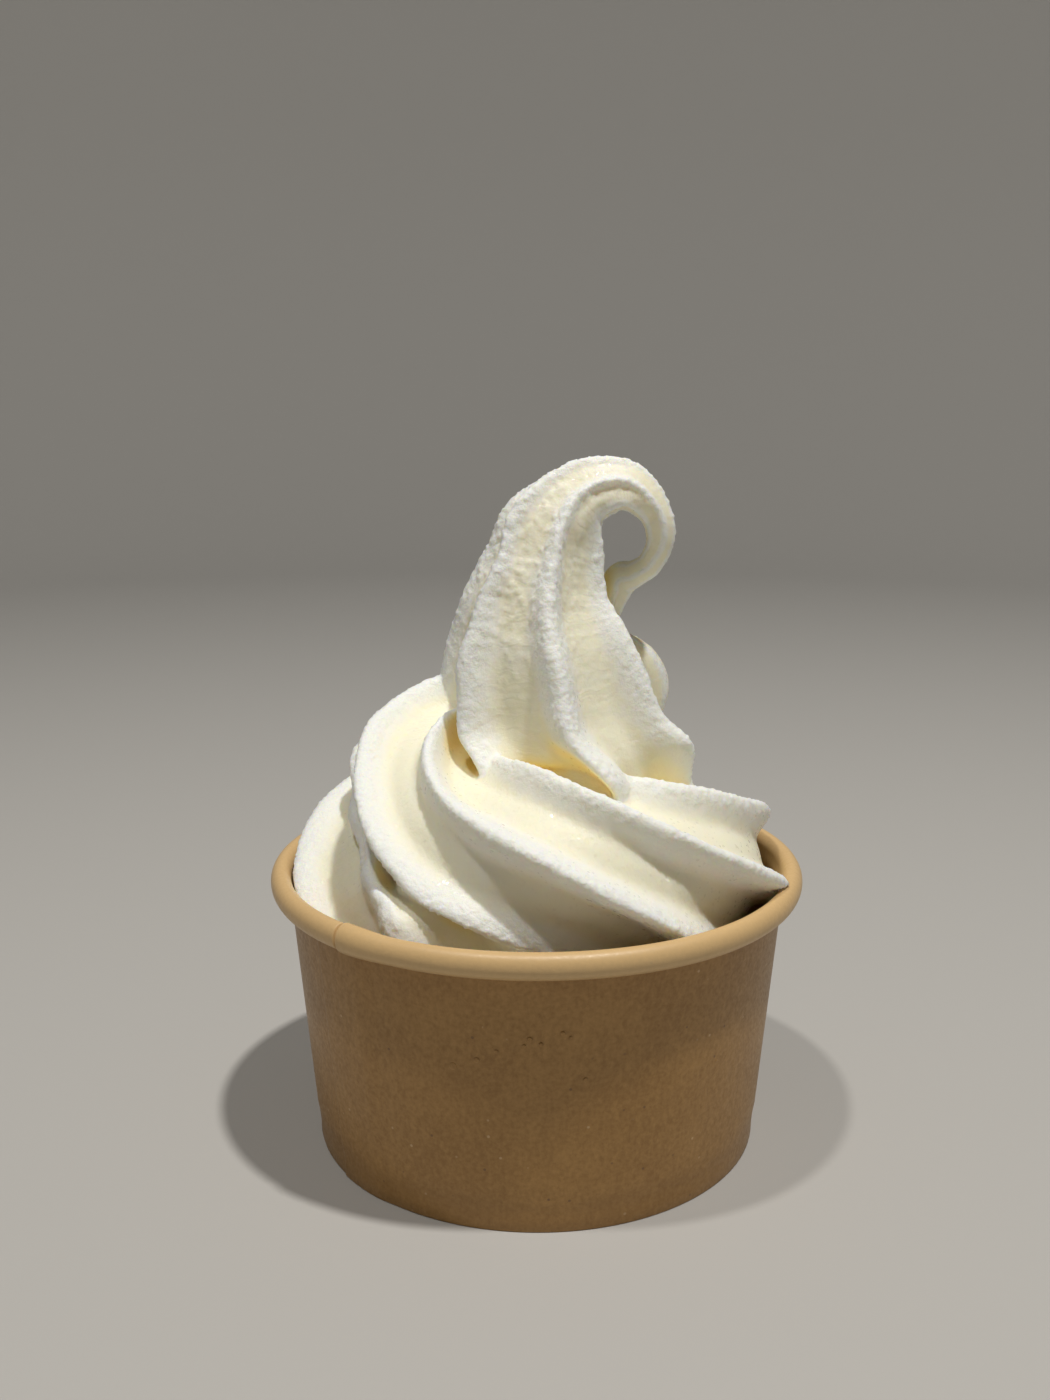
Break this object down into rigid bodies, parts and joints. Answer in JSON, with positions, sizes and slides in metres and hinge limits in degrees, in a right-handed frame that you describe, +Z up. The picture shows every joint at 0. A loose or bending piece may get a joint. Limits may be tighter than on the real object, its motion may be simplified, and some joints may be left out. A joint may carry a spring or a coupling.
{
  "type": "soft serve in a paper cup",
  "caption": "Swirl of vanilla soft serve with a curled tip, in a small kraft paper cup with a rolled rim.",
  "frame": {"origin": "centre of the cup's foot, on the table", "axes": "+Z up along the cup's axis, -Y to the front, +X to the right, where the curled tip points"},
  "size_m": [0.09, 0.09, 0.1156],
  "materials": {
    "kraft_paper": "uncoated brown kraft board, satin, with fine fibres and specks",
    "soft_serve": "frozen vanilla cream, soft and slightly translucent, with fine frost on the crests"
  },
  "bodies": {
    "root": {"cup_wall": "kraft_paper", "cup_bottom": "kraft_paper", "soft_serve": "soft_serve"}
  },
  "joints": []
}
